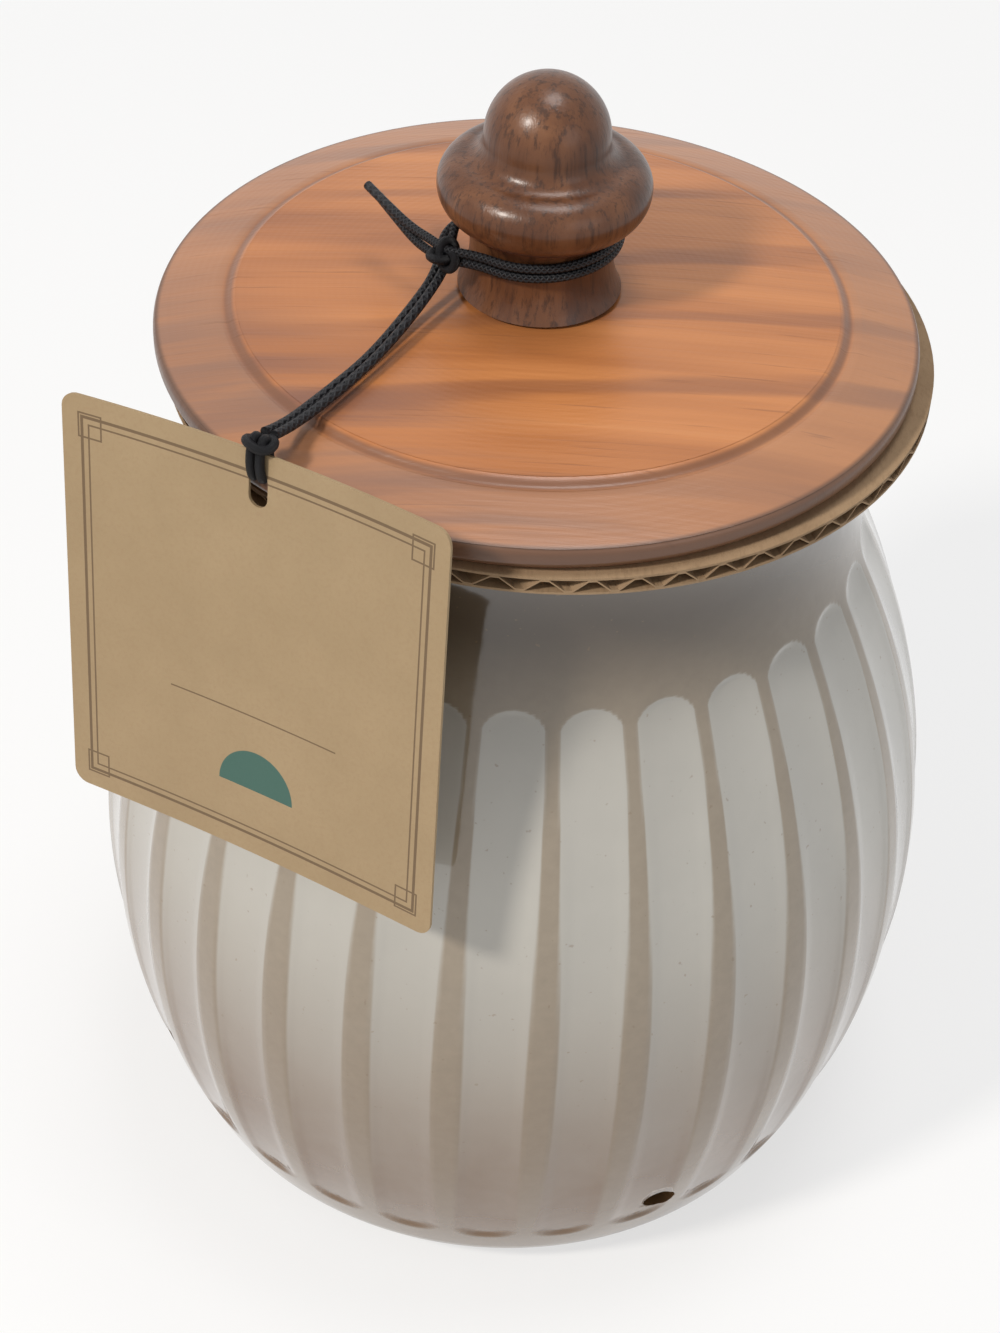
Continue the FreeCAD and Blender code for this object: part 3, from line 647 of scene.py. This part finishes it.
def acacia_finish():
    finish = Finish("oiled_acacia", Roughness=0.34, IOR=1.45, Coat_Weight=0.22, Coat_Roughness=0.22)

    def grain(size=(1, 1, 1)):
        """Object coordinates turned to the board's direction and stretched along it."""
        return finish.place(turn=(0, 0, GRAIN_TURN), size=size)

    side = finish.parts(grain())[1]
    slow = finish.noise(grain((4, 16, 10)), 1.6, 4, 0.55, 0.6)
    rings = finish.wave(grain((0.10, 1.0, 0.4)), 26, 5.5, 3, 1.5)
    pores = finish.noise(grain((26, 1100, 300)), 1.0, 3, 0.7)
    streak = finish.noise(grain((5, 130, 40)), 1.0, 4, 0.65, 0.3)
    colour = finish.ramp(slow * 0.62 + streak * 0.38, [
        (0.30, (0.250, 0.082, 0.026)), (0.45, (0.420, 0.152, 0.046)),
        (0.57, (0.530, 0.205, 0.066)), (0.72, (0.630, 0.290, 0.115)),
    ])
    growth = rings.step(0.80, 0.99) * slow.step(0.35, 0.62)
    colour = finish.mix(growth * 0.75, colour, (0.190, 0.070, 0.036))
    left_dark = (0 - side).step(0.022, 0.050) * streak.step(0.36, 0.62)
    colour = finish.mix(left_dark * 0.75, colour, (0.165, 0.070, 0.048))
    colour = finish.mix(pores.step(0.60, 0.74) * 0.50, colour, (0.150, 0.055, 0.025))
    x, y, _ = finish.parts(finish.place())
    out = (x * x + y * y) ** 0.5
    border = out.step(0.0500, 0.0512)
    colour = finish.mix(border * 0.38, colour, (0.300, 0.185, 0.125))
    # Painted shade: a dark ring laid on the small turned cove stands for the shade inside it.
    painted_groove_shade = 1 - abs(out - 0.0498).step(0.0003, 0.0011)
    colour = finish.mix(painted_groove_shade * 0.75, colour, (0.150, 0.062, 0.030))
    # Painted shade: the lid's upright side edge is darkened as if it were in shadow.
    painted_side_shade = out.step(0.0606, 0.0614)
    colour = finish.mix(painted_side_shade * 0.80, colour, (0.085, 0.040, 0.022))
    lathe = (out * 5200).sine() * 0.03
    finish.bump(streak * 0.5 + pores * 0.35 + lathe, 0.0004, 0.5)
    rough = 0.30 + streak * 0.16 + pores.step(0.55, 0.75) * 0.14
    return finish.paint(Base_Color=colour, Roughness=rough)


acacia = acacia_finish()
lid_profile = eased([
    (0, 161.4, 0), (2.1, 161.4, 0.1), (4.1, 159.0, 0.2), (4.1, 156.0, 0.3), (47.5, 156.0, 0.8),
    (47.5, 159.2, 0.2), (45.5, 159.2, 0.2), (45.5, 163.4, 0.2), (47.5, 163.4, 0.2),
    (47.5, LID_BASE, 0.3), (60.1, LID_BASE, 0.4), (LID_RADIUS, 169.8, 0.6), (LID_RADIUS, 172.4, 1.1),
    (60.2, 172.9, 1.3), (51.4, 174.95, 1.0), (50.2, 174.75, 0.7), (48.9, 175.85, 0.9),
    (47.2, 175.95, 1.4), (36.0, 176.7, 9.0), (20.0, 177.25, 7.0), (0, LID_TOP, 0),
], 7)
lid_turns = np.linspace(0, 2 * np.pi, 288, endpoint=False)
lid = mesh_piece("lid_turned", *turned(lid_profile, lid_turns), acacia, "acacia_wood", "lid", 50)
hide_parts("lid")

# %% [markdown]
# The knob is a separate turning of darker wood with its fibres upright. Its outline is arcs: a
# waisted neck, a round-shouldered bulb, a hollow cove and a small dome on top.

# %% Knob
KNOB_TOP = 214.2


def walnut_finish():
    finish = Finish("oiled_walnut", Roughness=0.30, Specular_IOR_Level=0.32,
                    Coat_Weight=0.12, Coat_Roughness=0.18)
    fibre = finish.noise(finish.place(size=(900, 900, 45)), 1.0, 4, 0.7)
    streak = finish.noise(finish.place(size=(150, 150, 9)), 1.0, 4, 0.6, 0.5)
    cloud = finish.noise(finish.place(size=(40, 40, 22)), 1.0, 3, 0.5)
    colour = finish.ramp(streak * 0.6 + cloud * 0.4, [
        (0.30, (0.040, 0.013, 0.005)), (0.46, (0.095, 0.034, 0.013)),
        (0.60, (0.150, 0.060, 0.025)), (0.78, (0.220, 0.098, 0.046)),
    ])
    colour = finish.mix(fibre.step(0.48, 0.66) * 0.75, colour, (0.035, 0.013, 0.006))
    finish.bump(fibre * 0.6 + streak * 0.4, 0.0003, 0.45)
    rough = 0.24 + fibre * 0.14
    return finish.paint(Base_Color=colour, Roughness=rough)


walnut = walnut_finish()
knob_profile = np.concatenate([
    [(0, LID_TOP)], [(11.9, LID_TOP)], [(12.3, LID_TOP + 0.4)],
    arc((26.5, 185.0), 15.1, 208, 151, 16),
    arc((11.4, 196.0), 5.5, -88, 0, 14),
    arc((12.4, 196.0), 4.5, 4, 84.8, 12),
    arc((13.1, 203.67), 3.2, 262, 180, 12),
    arc((0, 204.3), 9.9, 0, 89, 24),
    [(0, KNOB_TOP)],
])
knob_turns = np.linspace(0, 2 * np.pi, 192, endpoint=False)
knob = mesh_piece("knob_turned", *turned(knob_profile, knob_turns), walnut, "walnut_wood", "lid", 60)
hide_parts("knob")

# %% [markdown]
# The card is a sheet of kraft board. Its surface is a function of two numbers: one goes round the
# slot and the card's outline together, the other goes from the slot out to the edge, and then
# back again on the far side. That closes the slot and the rounded corners in one grid.

# %% Card
SLOT_WIDTH, SLOT_HEIGHT, SLOT_DROP, CORNER = 3.5, 6.0, 3.0, 2.5
TOP_BOW, FOOT_BOW = 2.6, 1.2
CORNER_CURL, CURL_REACH = 1.6, 35


def rounded_box(turns, half_width, half_height, corner):
    """Where a ray at each angle meets a box of rounded corners, found from its support points."""
    dense = np.linspace(0, np.pi / 2, 24)
    quarter = np.stack([half_width - corner + corner * np.cos(dense),
                        half_height - corner + corner * np.sin(dense)], axis=1)
    mirrored = [quarter, quarter[::-1] * (-1, 1), quarter * (-1, -1), quarter[::-1] * (1, -1)]
    outline = np.concatenate(mirrored + [quarter[:1]])
    length = np.concatenate([[0], np.cumsum(np.linalg.norm(np.diff(outline, axis=0), axis=1))])
    at = (turns / (2 * np.pi) % 1) * length[-1]
    return np.stack([np.interp(at, length, outline[:, k]) for k in (0, 1)], axis=1)


def card_points():
    """Grid (ring, turn): the slot's outline and the card's, mixed, then bowed and thickened."""
    around = np.linspace(0, 2 * np.pi, 400, endpoint=False)
    edge = rounded_box(around, CARD_SIZE[0] / 2, CARD_SIZE[1] / 2, CORNER)
    edge[:, 1] -= CARD_SIZE[1] / 2
    slot = rounded_box(around, SLOT_WIDTH / 2, SLOT_HEIGHT / 2, SLOT_WIDTH / 2 - 0.01)
    slot[:, 1] -= SLOT_DROP + SLOT_HEIGHT / 2
    share = np.linspace(0, 1, 26)[:, None, None] ** 1.6
    flat = slot * (1 - share) + edge * share
    along, rise = flat[..., 0], flat[..., 1]
    down = -rise / CARD_SIZE[1]
    bow = (TOP_BOW * (1 - down) + FOOT_BOW * down) * (along / (CARD_SIZE[0] / 2)) ** 2
    curl = CORNER_CURL * np.clip(along / CURL_REACH - 0.55, 0, 1) ** 2 * np.clip(down - 0.5, 0, 1)
    front = in_card(along, -bow + curl, rise)
    back = in_card(along, -bow + curl + CARD_THICK, rise)
    grid = np.concatenate([front, back[::-1]])
    print_place = np.stack([along / CARD_SIZE[0] + 0.5, 1 + rise / CARD_SIZE[1]], axis=-1)
    return grid, np.concatenate([print_place, print_place[::-1]]), len(share)


def kraft_finish():
    """Kraft card with its printed double border, corner squares, rule and half disc."""
    finish = Finish("printed_kraft", Roughness=0.62, IOR=1.42)
    across_card, up_card, _ = finish.parts(finish.uv())
    width, height = CARD_SIZE
    x, y = across_card * width, up_card * height
    where = finish.place()
    cloud = finish.noise(where, 60, 4, 0.6)
    fibre = finish.noise(where, 1500, 2, 0.6)
    colour = finish.mix(cloud, (0.300, 0.212, 0.115), (0.390, 0.282, 0.162))
    colour = finish.mix(fibre.step(0.42, 0.72) * 0.25, colour, (0.300, 0.195, 0.105))
    edge = x.least(width - x).least(y.least(height - y))
    outer_line = 1 - abs(edge - 3.5).step(0.20, 0.32)
    inner_line = 1 - abs(edge - 4.7).step(0.10, 0.20)
    cx, cy = x.least(width - x), y.least(height - y)
    square = abs(cx - 4.9).most(abs(cy - 4.9))
    corner_line = 1 - abs(square - 2.0).step(0.10, 0.20)
    lines = outer_line.most(inner_line).most(corner_line)
    rule_half, rule_height = 16, 25.7
    rule = (1 - abs(y - rule_height).step(0.08, 0.18)) * (abs(x - width / 2) < rule_half)
    front = finish.attribute("front")
    ink = lines.most(rule) * front
    colour = finish.mix(ink * 0.85, colour, (0.115, 0.070, 0.036))
    disc_radius, disc_height = 7.2, 12.0
    dx, dy = x - width / 2 - 0.8, y - disc_height
    disc = (1 - ((dx * dx + dy * dy) ** 0.5).step(disc_radius - 0.08, disc_radius + 0.08)) * (dy > 0)
    colour = finish.mix(disc * front * 0.94, colour, (0.030, 0.110, 0.092))
    finish.bump(fibre + cloud * 0.4, 0.00012, 0.5)
    return finish.paint(Base_Color=colour)


kraft = kraft_finish()
card_grid, card_print, front_rows = card_points()
rows, columns = card_grid.shape[:2]
index = np.arange(rows * columns).reshape(rows, columns)
below, beside = np.roll(index, -1, axis=0), np.roll(index, -1, axis=1)
card_faces = np.stack([index, beside, np.roll(below, -1, axis=1), below], -1).reshape(-1, 4)
card = mesh_piece("card_bowed", card_grid.reshape(-1, 3), card_faces[:, ::-1].tolist(), kraft,
                  "kraft_card", "tag", 35)
card_loops = np.zeros(len(card.data.loops), int)
card.data.loops.foreach_get("vertex_index", card_loops)
card_uv = card_print.reshape(-1, 2)[card_loops].ravel()
card.data.uv_layers.new(name="UVMap").data.foreach_set("uv", card_uv)
front_share = np.repeat((np.arange(rows) < front_rows).astype(np.float32), columns)
card.data.attributes.new("front", "FLOAT", "POINT").data.foreach_set("value", front_share)
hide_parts("hang_tag")

# %% [markdown]
# The packing ring, the seal and the screw keep their construction meshes, whose shapes are right.
# They only need their finishes: brown board, milky silicone and zinc-plated steel.

# %% Carried pieces
def board_finish():
    finish = Finish("brown_board", Roughness=0.86, IOR=1.4)
    where = finish.place()
    cloud = finish.noise(where, 90, 4, 0.6)
    fibre = finish.noise(finish.place(size=(1400, 500, 900)), 1.0, 3, 0.7)
    colour = finish.mix(cloud, (0.250, 0.160, 0.088), (0.400, 0.275, 0.165))
    colour = finish.mix(fibre.step(0.45, 0.75) * 0.35, colour, (0.180, 0.110, 0.058))
    finish.bump(fibre + cloud * 0.6, 0.0002, 0.6)
    return finish.paint(Base_Color=colour)


def silicone_finish():
    finish = Finish("milky_silicone", Roughness=0.45, IOR=1.41, Subsurface_Weight=0.1)
    cloud = finish.noise(finish.place(), 120, 3, 0.5)
    finish.bump(cloud, 0.0001, 0.3)
    return finish.paint(Base_Color=finish.mix(cloud, (0.62, 0.61, 0.57), (0.74, 0.73, 0.69)))


def steel_finish():
    finish = Finish("zinc_plate", Metallic=1.0)
    x, y, _ = finish.parts(finish.place())
    out = (x * x + y * y) ** 0.5
    lines = finish.noise(finish.place(size=(30, 30, 30)), 60, 3, 0.6)
    rough = 0.26 + lines * 0.14
    finish.bump((out * 9000).sine(), 0.00004, 0.3)
    colour = finish.mix(lines, (0.50, 0.50, 0.49), (0.64, 0.64, 0.61))
    return finish.paint(Base_Color=colour, Roughness=rough)


def dress(node, material):
    """Puts a finish on a carried construction mesh."""
    mesh = nodes[node].data
    mesh.materials.clear()
    mesh.materials.append(material)


brown_board = board_finish()
for node in ("pad_bottom_liner", "pad_fluting", "pad_top_liner"):
    dress(node, brown_board)
dress("lid_seal", silicone_finish())
dress("knob_screw", steel_finish())

# %% [markdown]
# The studio is a pale floor under a white room. The floor keeps the keeper's shadow, and the room
# shows as white to the camera and in reflections, but lights the object only gently.

# %% Floor and room
FLOOR_SIZE = 6.0


def floor_finish():
    """Pale floor, seen partly as lit and partly as white paper, and as all white further out."""
    finish = Finish("pale_floor", Roughness=0.7)
    cloud = finish.noise(finish.place(), 2.0, 2, 0.5)
    finish.paint(Base_Color=finish.mix(cloud, (0.87, 0.87, 0.87), (0.89, 0.89, 0.89)))
    rays = finish.node("ShaderNodeLightPath").outputs
    seen = Value(finish, rays["Is Camera Ray"])
    for kind in ("Is Glossy Ray", "Is Transmission Ray"):
        seen = seen.most(Value(finish, rays[kind]))
    x, y, _ = finish.parts(finish.place())
    far = ((x * x + y * y) ** 0.5).step(0.35, 1.30)
    white = finish.node("ShaderNodeEmission", None, {"Color": (1, 1, 1), "Strength": 1.0})
    both = finish.node("ShaderNodeMixShader", None, {0: seen * (far * 0.35 + 0.65)})
    finish.tree.links.new(finish.shader.outputs[0], both.inputs[1])
    finish.tree.links.new(white.outputs[0], both.inputs[2])
    finish.tree.links.new(both.outputs[0], finish.tree.nodes["Material Output"].inputs["Surface"])
    return finish.material


half = FLOOR_SIZE / 2
floor_mesh = bpy.data.meshes.new("floor")
floor_corners = [(-half, -half, 0), (half, -half, 0), (half, half, 0), (-half, half, 0)]
floor_mesh.from_pydata(floor_corners, [], [(0, 1, 2, 3)])
floor_mesh.materials.append(floor_finish())
floor_piece = bpy.data.objects.new("floor", floor_mesh)
bpy.context.collection.objects.link(floor_piece)

ROOM_LIGHT = 0.35
world = bpy.data.worlds.new("room")
bpy.context.scene.world = world
world.use_nodes = True
tree = world.node_tree
rays = tree.nodes.new("ShaderNodeLightPath")
seen = tree.nodes.new("ShaderNodeMath")
seen.operation = "MAXIMUM"
for i, kind in enumerate(("Is Camera Ray", "Is Transmission Ray")):
    tree.links.new(rays.outputs[kind], seen.inputs[i])
both = tree.nodes.new("ShaderNodeMath")
both.operation = "MAXIMUM"
tree.links.new(seen.outputs[0], both.inputs[0])
tree.links.new(rays.outputs["Is Glossy Ray"], both.inputs[1])
level = tree.nodes.new("ShaderNodeMapRange")
level.inputs[3].default_value = ROOM_LIGHT
level.inputs[4].default_value = 1.0
tree.links.new(both.outputs[0], level.inputs[0])
room = tree.nodes["Background"]
room.inputs["Color"].default_value = (1, 1, 1, 1)
tree.links.new(level.outputs[0], room.inputs["Strength"])


# %% [markdown]
# The key lamp stands high on the left in front, as in the shop where the photograph was taken, so
# the card's shadow falls to the right on the jar. A soft one overhead lights the lid and leaves the
# neck dark under it, and a weak one fills from the right.

# %% Lamps
def lamp(name, place, aim, size, power, colour=(1, 1, 1)):
    data = bpy.data.lights.new(name, "AREA")
    data.shape = "DISK"
    data.size = size
    data.energy = power
    data.color = colour
    made = bpy.data.objects.new(name, data)
    bpy.context.collection.objects.link(made)
    way = Vector(aim) - Vector(place)
    turned_to = way.to_track_quat("-Z", "Y").to_matrix().to_4x4()
    made.matrix_world = Matrix.Translation(Vector(place)) @ turned_to
    return made


lamp("key_lamp", (-0.80, -0.68, 1.12), (0, 0, 0.12), 0.20, 13.5, (1.0, 0.95, 0.88))
lamp("top_lamp", (0.15, 0.1, 1.5), (0, 0, 0.17), 0.55, 6.5)
lamp("fill_lamp", (0.9, -0.9, 0.7), (0, 0, 0.1), 0.8, 1.5, (0.92, 0.96, 1.0))
